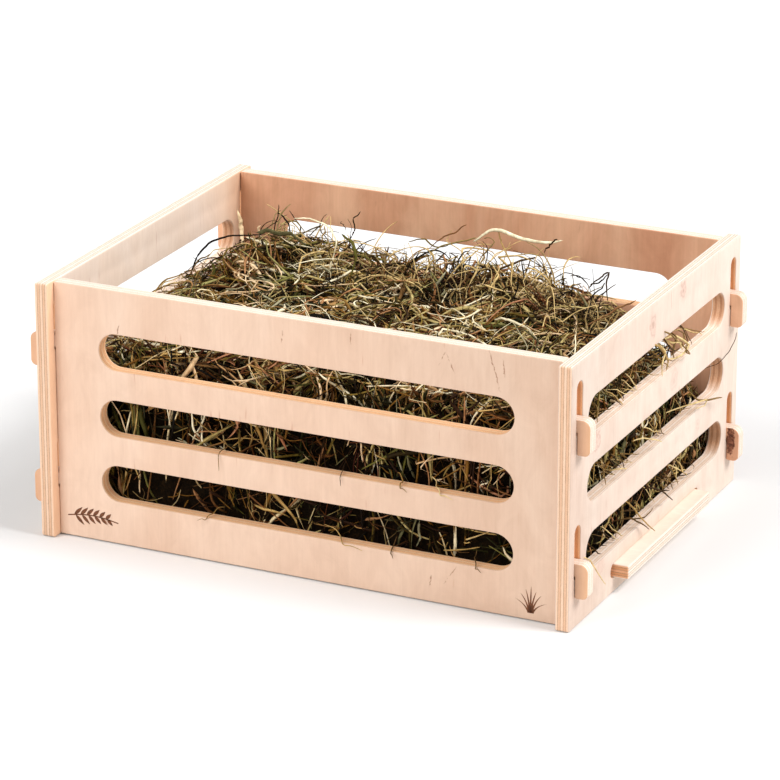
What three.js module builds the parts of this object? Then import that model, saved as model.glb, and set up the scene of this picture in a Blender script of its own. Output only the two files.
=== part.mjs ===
// A hay rack feeder: five birch plywood panels that hook together without fasteners, filled with hay.
// Millimetres. X runs along the feeder's length, Y from front to back, and Z up.
// The origin is on the surface the feeder stands on, under the middle of the feeder.

import * as THREE from 'three';
import { mergeVertices } from 'three/addons/utils/BufferGeometryUtils.js';

// Overall sizes
const LENGTH = 360; // over the outer faces of the two end panels
const DEPTH = 276; // along the end panels
const HEIGHT = 168;
const PLY = 9; // thickness of every panel
const SETBACK = 7.5; // front and back panels stand this far inside the end panels' edges
const HOOK_REACH = 8.5; // hooks show this much outside the end panels
const TONGUE_REACH = 9.5; // and so do the floor panel's tongues

// Fits
const TOUCH = 0.3; // gap between faces that bear on each other
const SHOULDER_GAP = 0.3; // play between a long panel's shoulder and the end panel
const FOOT_GAP = 0.5; // long panels hang this far above the ground
const CORNER = 1.5; // rounded outer corners of the panels

// Feeding slots: three level rows, each a straight slot with round ends
const SLOT_HEIGHT = 24;
const SLOT_LEVELS = [40.5, 84, 127.5];
const LONG_SLOT = 280; // length of a slot in the front and back panels
const END_SLOT = 225; // length of a slot in the end panels

// Hooks: two at each end of the front and back panels, one above the other
const HOOK_TOPS = [41.7, 133];
const HOOK_DROP = 22.2; // height of the lip that hangs outside the end panel
const NECK = 8; // height of the neck that passes through the end panel
const NECK_SEAT = 0.6; // the neck's lower corners bear on the mortise's round foot, this far below its centre
const LIP_TOP_RADIUS = 5;
const LIP_FOOT_RADIUS = 3.5;
const LIP_HEEL_RADIUS = 1;
const MORTISE_ABOVE_HOOK = 23; // open length above a seated hook, for hooking in

// Floor panel and its tongues
const FLOOR_BOTTOM = 9.5;
const FLOOR_GAP = 0.5;
const TONGUE_WIDTH = 136;
const TONGUE_RADIUS = 1;

// Hay
const HAY_GAP = 5.5; // hay stays this far inside the walls
const HAY_EDGE = 117; // height of the filling near the walls
const HAY_CROWN = 24; // rise of the filling towards the middle
const HAY_SHOULDER = 9; // fall of the filling at its rim
const HAY_STEPS_X = 18;
const HAY_STEPS_Y = 13;

const ARC_STEPS = 8; // fineness of each round corner or slot end

// Places worked out from the sizes above
const endInnerX = LENGTH / 2 - PLY;
const wallOuterY = DEPTH / 2 - SETBACK;
const wallInnerY = wallOuterY - PLY;
const wallMiddleY = wallOuterY - PLY / 2;
const mortiseRadius = PLY / 2 + TOUCH;
const hookTipX = LENGTH / 2 + HOOK_REACH;
const tongueTipX = LENGTH / 2 + TONGUE_REACH;

const birch = (color) => new THREE.MeshStandardMaterial({ color, roughness: 0.62, metalness: 0 });

// A straight slot with round ends, as a closed path around (u, v).
function slotPath(u, v, width, height) {
  const r = Math.min(width, height) / 2;
  const level = width > height;
  const reach = Math.abs(width - height) / 2;
  const ends = level
    ? [[u + reach, v, -Math.PI / 2], [u - reach, v, Math.PI / 2]]
    : [[u, v + reach, 0], [u, v - reach, Math.PI]];
  const path = new THREE.Path();
  ends.forEach(([cu, cv, start]) => path.absarc(cu, cv, r, start, start + Math.PI, false));
  path.closePath();
  return path;
}

// An anticlockwise outline from square corners (u, v, r), where r rounds an outward corner.
function roundedOutline(corners) {
  const shape = new THREE.Shape();
  const count = corners.length;
  corners.forEach(([u, v, r], i) => {
    const towards = ([a, b]) => [u + r * Math.sign(a - u), v + r * Math.sign(b - v)];
    const [enterU, enterV] = towards(corners[(i + count - 1) % count]);
    const [leaveU, leaveV] = towards(corners[(i + 1) % count]);
    if (i === 0) shape.moveTo(enterU, enterV);
    else shape.lineTo(enterU, enterV);
    if (r > 0) {
      const centreU = enterU + leaveU - u;
      const centreV = enterV + leaveV - v;
      const start = Math.atan2(enterV - centreV, enterU - centreU);
      const end = Math.atan2(leaveV - centreV, leaveU - centreU);
      shape.absarc(centreU, centreV, r, start, end, false);
    }
  });
  shape.closePath();
  return shape;
}

// A flat panel of plywood cut to a shape.
function cutPanel(shape) {
  return new THREE.ExtrudeGeometry(shape, { depth: PLY, bevelEnabled: false, curveSegments: ARC_STEPS });
}

// End panel: drawn with Y across and Z up, then stood up so that its thickness lies along X.
function endPanelGeometry() {
  const y = DEPTH / 2;
  const shape = roundedOutline([
    [-y, 0, CORNER],
    [y, 0, CORNER],
    [y, HEIGHT, CORNER],
    [-y, HEIGHT, CORNER],
  ]);
  SLOT_LEVELS.forEach((z) => shape.holes.push(slotPath(0, z, END_SLOT, SLOT_HEIGHT)));
  HOOK_TOPS.forEach((top) => {
    const high = top + MORTISE_ABOVE_HOOK;
    const low = top - NECK + NECK_SEAT - mortiseRadius;
    [-wallMiddleY, wallMiddleY].forEach((across) => {
      shape.holes.push(slotPath(across, (high + low) / 2, 2 * mortiseRadius, high - low));
    });
  });
  const tongueLevel = FLOOR_BOTTOM + PLY / 2;
  shape.holes.push(slotPath(0, tongueLevel, TONGUE_WIDTH + 2 * mortiseRadius, 2 * mortiseRadius));
  return cutPanel(shape);
}

// Front or back panel: drawn with X across and Z up, symmetrical about its middle.
function wallPanelGeometry() {
  const shoulder = endInnerX - SHOULDER_GAP;
  const lip = LENGTH / 2 + TOUCH;
  const rightSide = [[shoulder, FOOT_GAP, 1]];
  HOOK_TOPS.forEach((top) => {
    rightSide.push(
      [shoulder, top - NECK, 0],
      [lip, top - NECK, 0],
      [lip, top - HOOK_DROP, LIP_HEEL_RADIUS],
      [hookTipX, top - HOOK_DROP, LIP_FOOT_RADIUS],
      [hookTipX, top, LIP_TOP_RADIUS],
      [shoulder, top, 0],
    );
  });
  rightSide.push([shoulder, HEIGHT, 1]);
  const leftSide = rightSide.map(([x, z, r]) => [-x, z, r]).reverse();
  const shape = roundedOutline([...rightSide, ...leftSide]);
  SLOT_LEVELS.forEach((z) => shape.holes.push(slotPath(0, z, LONG_SLOT, SLOT_HEIGHT)));
  return cutPanel(shape);
}

// Floor panel: drawn with X across and Y up, with one tongue at each end.
function floorGeometry() {
  const x = endInnerX - FLOOR_GAP;
  const y = wallInnerY - FLOOR_GAP;
  const tongue = TONGUE_WIDTH / 2;
  const rightSide = [
    [x, -y, 1],
    [x, -tongue, 0],
    [tongueTipX, -tongue, TONGUE_RADIUS],
    [tongueTipX, tongue, TONGUE_RADIUS],
    [x, tongue, 0],
    [x, y, 1],
  ];
  const leftSide = rightSide.map(([u, v, r]) => [-u, v, r]).reverse();
  return cutPanel(roundedOutline([...rightSide, ...leftSide]));
}

// Hay: a box-like filling whose top is a low, lumpy mound that rounds off towards the walls.
function hayGeometry() {
  const halfX = endInnerX - HAY_GAP;
  const halfY = wallInnerY - HAY_GAP;
  const bottom = FLOOR_BOTTOM + PLY + TOUCH;
  const topAt = (i, j) => {
    const u = (2 * i) / HAY_STEPS_X - 1;
    const v = (2 * j) / HAY_STEPS_Y - 1;
    const crown = HAY_CROWN * (1 - u * u) * (1 - v * v);
    const lumps = 2.5 * Math.sin(5.1 * u + 1.3) * Math.cos(4.3 * v - 0.6) + 1.5 * Math.sin(9 * u * v + 2);
    const onEdge = i === 0 || j === 0 || i === HAY_STEPS_X || j === HAY_STEPS_Y;
    return HAY_EDGE + crown + (onEdge ? -HAY_SHOULDER : lumps);
  };
  const geometry = new THREE.BoxGeometry(
    2 * halfX, 2 * halfY, 1, HAY_STEPS_X, HAY_STEPS_Y, 1,
  ).toNonIndexed();
  geometry.deleteAttribute('normal');
  geometry.deleteAttribute('uv');
  const place = geometry.attributes.position;
  for (let k = 0; k < place.count; k += 1) {
    const i = Math.round(((place.getX(k) / halfX + 1) / 2) * HAY_STEPS_X);
    const j = Math.round(((place.getY(k) / halfY + 1) / 2) * HAY_STEPS_Y);
    place.setZ(k, place.getZ(k) > 0 ? topAt(i, j) : bottom);
  }
  return mergeVertices(geometry, 1e-3);
}

const feeder = new THREE.Group();

function addPiece(name, geometry, material, position, rotation = [0, 0, 0]) {
  const mesh = new THREE.Mesh(geometry, material);
  mesh.name = name;
  mesh.position.set(...position);
  mesh.rotation.set(...rotation, 'ZYX');
  feeder.add(mesh);
}

// A panel drawn in the XY plane stands up in XZ after a quarter turn about X, its thickness then
// running from the given Y towards the front. A second quarter turn about Z stands it across the feeder.
const quarter = Math.PI / 2;
const upright = [quarter, 0, 0];
const across = [quarter, 0, quarter];

addPiece('left_end_panel', endPanelGeometry(), birch(0xf3dcc8), [-LENGTH / 2, 0, 0], across);
addPiece('right_end_panel', endPanelGeometry(), birch(0xf6e3d4), [endInnerX, 0, 0], across);
addPiece('front_panel', wallPanelGeometry(), birch(0xf2cfae), [0, -wallInnerY, 0], upright);
addPiece('back_panel', wallPanelGeometry(), birch(0xdcae8a), [0, wallOuterY, 0], upright);
addPiece('floor_panel', floorGeometry(), birch(0xe2bd98), [0, 0, FLOOR_BOTTOM]);

const hayMaterial = new THREE.MeshStandardMaterial({ color: 0x77683c, roughness: 0.9, metalness: 0 });
addPiece('hay', hayGeometry(), hayMaterial, [0, 0, 0]);

export default feeder;
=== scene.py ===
"""Looks of the hay rack feeder: routed birch plywood panels, burned trims and a filling of meadow hay.

Lengths are in millimetres until a mesh is made. X runs along the feeder, Y from front to back and Z up.
"""

import math

import bmesh
import bpy
import numpy as np
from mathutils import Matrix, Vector
from mathutils.geometry import tessellate_polygon


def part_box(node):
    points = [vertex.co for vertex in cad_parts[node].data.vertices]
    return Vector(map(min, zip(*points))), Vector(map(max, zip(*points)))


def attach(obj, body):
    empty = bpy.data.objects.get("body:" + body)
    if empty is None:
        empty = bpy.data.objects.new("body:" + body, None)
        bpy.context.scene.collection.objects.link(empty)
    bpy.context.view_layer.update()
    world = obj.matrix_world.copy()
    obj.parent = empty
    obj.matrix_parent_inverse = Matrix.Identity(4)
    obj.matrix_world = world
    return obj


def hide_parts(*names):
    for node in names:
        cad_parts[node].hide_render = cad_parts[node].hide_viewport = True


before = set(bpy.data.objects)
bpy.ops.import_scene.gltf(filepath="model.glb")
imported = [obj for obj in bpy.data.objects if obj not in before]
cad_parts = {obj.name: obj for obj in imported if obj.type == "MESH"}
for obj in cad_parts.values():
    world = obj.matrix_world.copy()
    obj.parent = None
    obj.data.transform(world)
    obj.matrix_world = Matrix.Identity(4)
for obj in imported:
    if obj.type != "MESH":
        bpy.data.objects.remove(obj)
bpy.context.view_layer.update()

MM = 0.001
X_AXIS, Y_AXIS, UP = np.eye(3)

# ---- Sizes, from the frame's boxes where they give them ----


def box_mm(node):
    low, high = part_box(node)
    return np.array(low) / MM, np.array(high) / MM


END_LOW, END_HIGH = box_mm("right_end_panel")
WALL_LOW, WALL_HIGH = box_mm("back_panel")
FLOOR_LOW, FLOOR_HIGH = box_mm("floor_panel")

OUTER_X = END_HIGH[0]
INNER_X = END_LOW[0]
DEPTH_HALF = END_HIGH[1]
HEIGHT = END_HIGH[2]
PLY = OUTER_X - INNER_X
WALL_OUTER_Y = WALL_HIGH[1]
WALL_INNER_Y = WALL_LOW[1]
WALL_MIDDLE_Y = (WALL_OUTER_Y + WALL_INNER_Y) / 2
WALL_FOOT = WALL_LOW[2]
HOOK_TIP_X = WALL_HIGH[0]
TONGUE_TIP_X = FLOOR_HIGH[0]
FLOOR_BOTTOM = FLOOR_LOW[2]
FLOOR_TOP = FLOOR_HIGH[2]

SHOULDER_GAP = 0.3
TOUCH = 0.3
CORNER = 1.5
PANEL_RADIUS = 1.0  # of the long panels' and the floor's corners
FLOOR_GAP = 0.5
SLOT_HEIGHT = 24.0
SLOT_LEVELS = (40.5, 84.0, 127.5)
LONG_SLOT = 280.0
END_SLOT = 225.0
HOOK_TOPS = (41.7, 133.0)
HOOK_DROP = 22.2
NECK = 8.0
NECK_SEAT = 0.6
LIP_TOP_RADIUS = 5.0
LIP_FOOT_RADIUS = 3.5
MORTISE_ABOVE_HOOK = 23.0
MORTISE_RADIUS = PLY / 2 + TOUCH
TONGUE_WIDTH = 136.0
TONGUE_RADIUS = 1.0

EASE = 0.6  # radius of the sanded edges
PLIES = 5
GLUE_LINE = 0.12  # half the width of a glue line
GLUE_DEPTH = 0.08
ARC_STEPS = 28  # facets of a half circle
CORNER_STEPS = 8  # facets of a rounded corner
EASE_STEPS = 4  # facets of a sanded edge

# ---- Meshes and objects ----


def metres(point):
    return tuple(c * MM for c in point)


def solid_mesh(name, verts, faces, materials, slots=None):
    """A closed mesh from points in millimetres, with all its faces turned outwards."""
    mesh = bpy.data.meshes.new(name)
    mesh.from_pydata([metres(v) for v in verts], [], faces)
    if slots is not None:
        mesh.polygons.foreach_set("material_index", slots)
    for material in materials:
        mesh.materials.append(material)
    work = bmesh.new()
    work.from_mesh(mesh)
    bmesh.ops.remove_doubles(work, verts=work.verts, dist=1e-7)
    bmesh.ops.recalc_face_normals(work, faces=work.faces)
    work.to_mesh(mesh)
    work.free()
    return mesh


def add_object(name, data):
    thing = bpy.data.objects.new(name, data)
    bpy.context.scene.collection.objects.link(thing)
    return thing


# ---- Materials' nodes ----


class Shader:
    """A material's node tree, built by calls that take values or other nodes' outputs."""

    def __init__(self, name):
        self.material = bpy.data.materials.new(name)
        self.material.use_nodes = True
        self.tree = self.material.node_tree
        self.tree.nodes.clear()

    def add(self, kind, inputs=None, **settings):
        node = self.tree.nodes.new("ShaderNode" + kind)
        for key, value in settings.items():
            setattr(node, key, value)
        for key, value in (inputs or {}).items():
            if isinstance(value, bpy.types.NodeSocket):
                self.tree.links.new(value, node.inputs[key])
            else:
                node.inputs[key].default_value = value
        return node

    def maths(self, operation, a, b=0.0):
        return self.add("Math", {0: a, 1: b}, operation=operation).outputs[0]

    def vector(self, operation, a, b=(0, 0, 0)):
        node = self.add("VectorMath", {0: a, 1: b}, operation=operation)
        return node.outputs["Value" if operation == "LENGTH" else "Vector"]

    def part(self, vector, axis):
        return self.add("SeparateXYZ", {0: vector}).outputs[axis]

    def place(self, scale=(1, 1, 1), move=(0, 0, 0)):
        where = self.add("TexCoord").outputs["Object"]
        mapping = self.add("Mapping", {"Vector": where, "Location": move, "Scale": scale})
        return mapping.outputs[0]

    def noise(self, vector, scale, detail=2.0, roughness=0.5, distortion=0.0):
        inputs = {"Vector": vector, "Scale": scale, "Detail": detail, "Roughness": roughness}
        return self.add("TexNoise", {**inputs, "Distortion": distortion}).outputs["Fac"]

    def spread(self, value, low, high, out_low=0.0, out_high=1.0):
        inputs = {"Value": value, "From Min": low, "From Max": high, "To Min": out_low, "To Max": out_high}
        return self.add("MapRange", inputs).outputs["Result"]

    def ramp(self, value, stops):
        node = self.add("ValToRGB", {"Fac": value})
        elements = node.color_ramp.elements
        while len(elements) < len(stops):
            elements.new(0.5)
        for element, (position, colour) in zip(elements, stops):
            element.position = position
            element.color = colour
        return node.outputs["Color"]

    def mix(self, factor, a, b, blend="MIX"):
        inputs = {"Factor": factor, 6: a, 7: b}
        return self.add("Mix", inputs, data_type="RGBA", blend_type=blend).outputs[2]

    def tint(self, colour, value, stops):
        """The colour times a tone that follows the value. stops are (value, (red, green, blue))."""
        tones = self.ramp(value, [(at, (*tone, 1)) for at, tone in stops])
        return self.mix(1.0, colour, tones, "MULTIPLY")

    def bump(self, height, strength, distance):
        inputs = {"Height": height, "Strength": strength, "Distance": distance}
        return self.add("Bump", inputs).outputs["Normal"]

    def finish(self, colour, roughness, normal=None, specular=0.5):
        inputs = {"Base Color": colour, "Roughness": roughness, "Specular IOR Level": specular}
        if normal is not None:
            inputs["Normal"] = normal
        surface = self.add("BsdfPrincipled", inputs)
        self.add("OutputMaterial", {"Surface": surface.outputs[0]})
        return self.material


def rgb(red, green, blue):
    """A screen colour, 0 to 255, as the linear colour that a shader takes."""

    def linear(value):
        value /= 255
        return value / 12.92 if value <= 0.04045 else ((value + 0.055) / 1.055) ** 2.4

    return (linear(red), linear(green), linear(blue), 1.0)


# ---- Wood ----

RELIEF = 0.2 * MM  # distance that the wood's bumps stand for


def along_grain(grain, share):
    """A scale that draws a pattern out along the grain."""
    return (share, 1, 1) if grain == "X" else (1, 1, share)


def birch_face(
    name, pale, deep, grain="Z", seed=0.0, knots=(), marks=(), bark=None, figure=1.0, coarse=1.0, painted_shading=None
):
    """Sanded rotary-cut birch veneer: a soft broad figure, fine fibres and short dark mineral flecks.
    knots are (centre, radius, strength) and marks are (x, z, length, lean) in mm. figure is how strongly
    it is figured and coarse is how much its fibres show. painted_shading is painted light and shade, given
    as an axis and how the veneer's colour changes along it: (place in mm, share of red, green and blue)."""
    s = Shader(name)
    shift = (seed, seed * 0.7, seed * 1.3)
    where = s.add("TexCoord").outputs["Object"]

    broad = s.noise(s.place(along_grain(grain, 0.4), shift), 11, 3, 0.55, 1.2)
    colour = s.mix(s.maths("MULTIPLY", s.spread(broad, 0.36, 0.66), figure), rgb(*pale), rgb(*deep))
    cloud = s.noise(s.place(along_grain(grain, 0.6), (seed * 2,) * 3), 60, 5, 0.66, 1.0)
    cloud_low = [1 - loss * coarse for loss in (0.06, 0.08, 0.092)]
    colour = s.tint(colour, cloud, [(0.3, cloud_low), (0.68, (1.02, 1.022, 1.025))])
    fibres = s.noise(s.place(along_grain(grain, 0.06), shift), 560, 3, 0.6)
    fibre_low = [1 - loss * coarse for loss in (0.035, 0.047, 0.058)]
    colour = s.tint(colour, fibres, [(0.28, fibre_low), (0.7, (1.01, 1.01, 1.01))])
    # Painted light and shade: the colour scaled up or down along one axis.
    if painted_shading is not None:
        axis, stops = painted_shading
        low, high = stops[0][0], stops[-1][0]
        along = s.spread(s.part(where, axis), low * MM, high * MM)
        colour = s.tint(colour, along, [((at - low) / (high - low), share) for at, share in stops])

    dash = s.noise(s.place(along_grain(grain, 0.11), (seed * 2.1,) * 3), 430, 1.5)
    sparse = s.noise(s.place(move=shift), 24, 1.0)
    fleck = s.maths("MULTIPLY", s.spread(dash, 0.68, 0.77), s.spread(sparse, 0.49, 0.64))
    colour = s.mix(s.maths("MULTIPLY", fleck, 0.6), colour, rgb(186, 128, 98))
    if marks:
        wobble = s.noise(where, 240, 3, 0.6)
        drawn = 0.0
        for mark in marks:
            drawn = s.maths("MAXIMUM", drawn, mineral_mark(s, where, wobble, *mark))
        colour = s.mix(s.maths("MULTIPLY", drawn, 0.72), colour, rgb(134, 84, 56))

    swirl = s.noise(where, 130, 4, 0.6)
    for centre, radius, strength in knots:
        offset = s.vector("SUBTRACT", where, metres(centre))
        offset = s.vector("MULTIPLY", offset, along_grain(grain, 0.75))
        distance = s.maths("DIVIDE", s.vector("LENGTH", offset), radius * MM)
        reach = s.maths("ADD", distance, s.spread(swirl, 0.25, 0.75, -0.6, 0.6))
        stain = s.spread(reach, 1.3, 0.5, 0.0, 0.8 * strength)
        colour = s.mix(stain, colour, rgb(222, 188, 172))
        off_ring = s.maths("ABSOLUTE", s.maths("SUBTRACT", reach, 0.62))
        ring = s.spread(off_ring, 0.2, 0.05, 0.0, 0.5 * strength)
        colour = s.mix(ring, colour, rgb(184, 144, 126))
        heart = s.spread(reach, 0.34, 0.0, 0.0, 0.8 * strength)
        colour = s.mix(heart, colour, rgb(180, 138, 120))

    height = s.maths("ADD", fibres, s.maths("MULTIPLY", cloud, 0.5))
    rough = s.spread(cloud, 0.3, 0.7, 0.52, 0.66)
    if bark is not None:
        colour, height = bark_patch(s, where, colour, height, *bark)
    return s.finish(colour, rough, s.bump(height, 0.2, RELIEF), 0.3)


def mineral_mark(s, where, wobble, x, z, length, lean):
    """A thin dark leaning line on an upright panel, broken up along its length."""
    up = s.maths("SUBTRACT", s.part(where, "Z"), z * MM)
    across = s.maths("SUBTRACT", s.part(where, "X"), x * MM)
    across = s.maths("SUBTRACT", across, s.maths("MULTIPLY", up, lean))
    across = s.maths("ADD", across, s.spread(wobble, 0.3, 0.7, -0.6 * MM, 0.6 * MM))
    thin = s.spread(s.maths("ABSOLUTE", across), 0.55 * MM, 0.1 * MM)
    short = s.spread(s.maths("ABSOLUTE", up), length / 2 * MM, length / 4 * MM)
    broken = s.spread(s.noise(where, 330), 0.38, 0.52)
    return s.maths("MULTIPLY", s.maths("MULTIPLY", thin, short), broken)


def bark_patch(s, where, colour, height, centre, half):
    """Rough dark bark left in a knot, around a centre (mm) with half sizes (mm)."""
    scaled = s.vector("DIVIDE", s.vector("SUBTRACT", where, metres(centre)), metres(half))
    crumbs = s.noise(where, 420, 4, 0.7, 0.5)
    reach = s.maths("ADD", s.vector("LENGTH", scaled), s.spread(crumbs, 0.3, 0.7, -0.3, 0.3))
    mask = s.spread(reach, 1.05, 0.88)
    tones = s.ramp(crumbs, [(0.32, rgb(58, 28, 18)), (0.5, rgb(124, 74, 52)), (0.66, rgb(176, 118, 88))])
    ridge = s.maths("MULTIPLY", s.maths("MULTIPLY", crumbs, mask), 6.0)
    return s.mix(mask, colour, tones), s.maths("ADD", height, ridge)


def birch_edge(name, cross, front_back_cuts_shaded, seed):
    """The cut edge of one veneer: short fibres and pores. The cuts that face front and back are given a
    darker, more orange colour as painted shade."""
    s = Shader(name)
    coarse = s.noise(s.place(move=(seed,) * 3), 150, 3, 0.6)
    pores = s.noise(s.place(move=(seed * 3,) * 3), 1500)
    facing = s.part(s.add("TexCoord").outputs["Normal"], "Y")
    # Painted shade: cuts that face front or back blend to the darker colour.
    colour = s.mix(s.spread(s.maths("ABSOLUTE", facing), 0.15, 0.85), rgb(*cross), rgb(*front_back_cuts_shaded))
    colour = s.tint(colour, coarse, [(0.3, (1.02, 1.02, 1.02)), (0.7, (0.96, 0.93, 0.90))])
    colour = s.tint(colour, pores, [(0.3, (0.90, 0.87, 0.84)), (0.55, (1.01, 1.01, 1.01))])
    return s.finish(colour, 0.72, s.bump(pores, 0.3, RELIEF), 0.25)


def glue_line(name, pale, deep):
    s = Shader(name)
    patchy = s.noise(s.place(), 260, 2, 0.6)
    colour = s.mix(s.spread(patchy, 0.35, 0.65), rgb(*pale), rgb(*deep))
    return s.finish(colour, 0.6)


def burned_wood():
    s = Shader("burned_wood")
    patchy = s.noise(s.place(), 700, 3, 0.6)
    colour = s.mix(s.spread(patchy, 0.3, 0.7), rgb(128, 76, 44), rgb(84, 46, 26))
    return s.finish(colour, 0.8, s.bump(patchy, 0.3, RELIEF))


# ---- Panels: an outline with holes, given plies, glue lines and sanded edges ----


FACE, PALE, DARK, GLUE, FAINT_GLUE = 0, 1, 2, 3, 8  # places of the materials on a panel
BROWNED, SHADED_SLOTS = 3, 5  # how far on the plies of browned cuts, and of slot cuts with painted shade at their ends, are
BEHIND_MORTISES = "shoulders"  # in a panel's cuts: its shoulders, which show through the mortises
SHARP_ANGLE = 20  # degrees between faces from which an edge isn't smoothed


def arc(centre, radius, start, sweep, steps):
    angles = start + sweep * np.arange(steps + 1) / steps
    return [(centre[0] + radius * math.cos(a), centre[1] + radius * math.sin(a)) for a in angles]


def slot_loop(u, v, width, height):
    """A straight slot with round ends, clockwise."""
    radius = min(width, height) / 2
    reach = abs(width - height) / 2
    if width > height:
        ends = [((u + reach, v), math.pi / 2), ((u - reach, v), -math.pi / 2)]
    else:
        ends = [((u, v - reach), 0.0), ((u, v + reach), math.pi)]
    return [p for centre, start in ends for p in arc(centre, radius, start, -math.pi, ARC_STEPS)]


def rounded_loop(corners):
    """An anticlockwise outline from square corners (u, v, r), where r rounds an outward corner."""
    points = []
    for i, (u, v, r) in enumerate(corners):
        if r == 0:
            points.append((u, v))
            continue
        before, after = corners[i - 1], corners[(i + 1) % len(corners)]
        enter = (u + r * np.sign(before[0] - u), v + r * np.sign(before[1] - v))
        leave = (u + r * np.sign(after[0] - u), v + r * np.sign(after[1] - v))
        centre = (enter[0] + leave[0] - u, enter[1] + leave[1] - v)
        start = math.atan2(enter[1] - centre[1], enter[0] - centre[0])
        points += arc(centre, r, start, math.pi / 2, CORNER_STEPS)
    return points


def mirrored(side):
    return side + [(-u, v, r) for u, v, r in reversed(side)]


def inset_loop(loop, amount):
    """The loop moved into the material, which lies on its left."""
    p = np.array(loop)
    along = np.roll(p, -1, 0) - p
    along /= np.linalg.norm(along, axis=1)[:, None]
    normal = np.stack([-along[:, 1], along[:, 0]], 1)
    before = np.roll(normal, 1, 0)
    total = normal + before
    return p + amount * 2 * total / np.maximum((total**2).sum(1), 1e-9)[:, None]


def edge_profile():
    """Stations through the thickness: (depth, inset, material of the band that follows)."""
    quarter = [math.pi / 2 / EASE_STEPS * i for i in range(EASE_STEPS + 1)]
    rounding = [(EASE * (1 - math.cos(a)), EASE * (1 - math.sin(a)), FACE) for a in quarter]
    rounding[-1] = (EASE, 0.0, PALE)
    stations = list(rounding)
    for k in range(1, PLIES):
        depth = PLY * k / PLIES
        following = DARK if k % 2 else PALE
        stations += [
            (depth - GLUE_LINE, 0.0, GLUE),
            (depth, GLUE_DEPTH, GLUE),
            (depth + GLUE_LINE, 0.0, following),
        ]
    back = [(PLY - depth, inset, FACE) for depth, inset, _ in reversed(rounding)]
    return stations + back


def panel_piece(name, outline, holes, cuts, to_space, materials):
    """A plywood panel. to_space turns (u, v, depth) into a point of the feeder, in millimetres.
    cuts gives BROWNED or SHADED_SLOTS by number for the holes whose cuts the cutter has browned or whose
    ends get painted shade."""
    loops = [outline] + holes
    stations = edge_profile()
    verts, faces, slots = [], [], []
    first_rings, last_rings = [], []
    for number, loop in enumerate(loops):
        count = len(loop)
        rings = []
        for depth, inset, _ in stations:
            start = len(verts)
            verts += [to_space(u, v, depth) for u, v in inset_loop(loop, inset)]
            rings.append(range(start, start + count))
        shifts = [cuts.get(number - 1, 0)] * count
        if number == 0 and BEHIND_MORTISES in cuts:
            shifts = [BROWNED if is_shoulder(loop[i], loop[(i + 1) % count]) else 0 for i in range(count)]
        for a, b, (_, _, layer) in zip(rings, rings[1:], stations):
            for i, shift in enumerate(shifts):
                j = (i + 1) % count
                faces.append((a[i], a[j], b[j], b[i]))
                slots.append(band_slot(layer, shift))
        first_rings += rings[0]
        last_rings += rings[-1]
    flat = [[Vector((*point, 0)) for point in inset_loop(loop, stations[0][1])] for loop in loops]
    for order in (first_rings, last_rings):
        for triangle in tessellate_polygon(flat):
            faces.append(tuple(order[i] for i in triangle))
            slots.append(FACE)
    mesh = solid_mesh(name, verts, faces, materials, slots)
    mesh.polygons.foreach_set("use_smooth", [True] * len(mesh.polygons))
    mesh.set_sharp_from_angle(angle=math.radians(SHARP_ANGLE))
    return add_object(name, mesh)


def band_slot(layer, shift):
    """The material of a band of a cut, which shift makes BROWNED or SHADED_SLOTS, the slot set with painted
    shade at its ends.
    """
    if layer in (PALE, DARK):
        return layer + shift
    return FAINT_GLUE if layer == GLUE and shift else layer


def is_shoulder(start, end):
    """Whether a stretch of a long panel's outline is the upright end that bears on an end panel."""
    return abs(start[0] - end[0]) < 0.01 and abs(start[0]) < INNER_X and abs(start[1] - end[1]) > 2


def end_panel_loops():
    half = DEPTH_HALF
    corners = [(-half, 0, CORNER), (half, 0, CORNER), (half, HEIGHT, CORNER), (-half, HEIGHT, CORNER)]
    holes = [slot_loop(0, z, END_SLOT, SLOT_HEIGHT) for z in SLOT_LEVELS]
    for top in HOOK_TOPS:
        high = top + MORTISE_ABOVE_HOOK
        low = top - NECK + NECK_SEAT - MORTISE_RADIUS
        for y in (-WALL_MIDDLE_Y, WALL_MIDDLE_Y):
            holes.append(slot_loop(y, (high + low) / 2, 2 * MORTISE_RADIUS, high - low))
    level = (FLOOR_BOTTOM + FLOOR_TOP) / 2
    holes.append(slot_loop(0, level, TONGUE_WIDTH + 2 * MORTISE_RADIUS, 2 * MORTISE_RADIUS))
    return rounded_loop(corners), holes


def wall_panel_loops():
    shoulder = INNER_X - SHOULDER_GAP
    lip = OUTER_X + TOUCH
    side = [(shoulder, WALL_FOOT, PANEL_RADIUS)]
    for top in HOOK_TOPS:
        side += [
            (shoulder, top - NECK, 0),
            (lip, top - NECK, 0),
            (lip, top - HOOK_DROP, PANEL_RADIUS),
            (HOOK_TIP_X, top - HOOK_DROP, LIP_FOOT_RADIUS),
            (HOOK_TIP_X, top, LIP_TOP_RADIUS),
            (shoulder, top, 0),
        ]
    side.append((shoulder, HEIGHT, PANEL_RADIUS))
    holes = [slot_loop(0, z, LONG_SLOT, SLOT_HEIGHT) for z in SLOT_LEVELS]
    return rounded_loop(mirrored(side)), holes


def floor_loops():
    x, y = INNER_X - FLOOR_GAP, WALL_INNER_Y - FLOOR_GAP
    tongue = TONGUE_WIDTH / 2
    side = [
        (x, -y, PANEL_RADIUS),
        (x, -tongue, 0),
        (TONGUE_TIP_X, -tongue, TONGUE_RADIUS),
        (TONGUE_TIP_X, tongue, TONGUE_RADIUS),
        (x, tongue, 0),
        (x, y, PANEL_RADIUS),
    ]
    return rounded_loop(mirrored(side)), []


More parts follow.
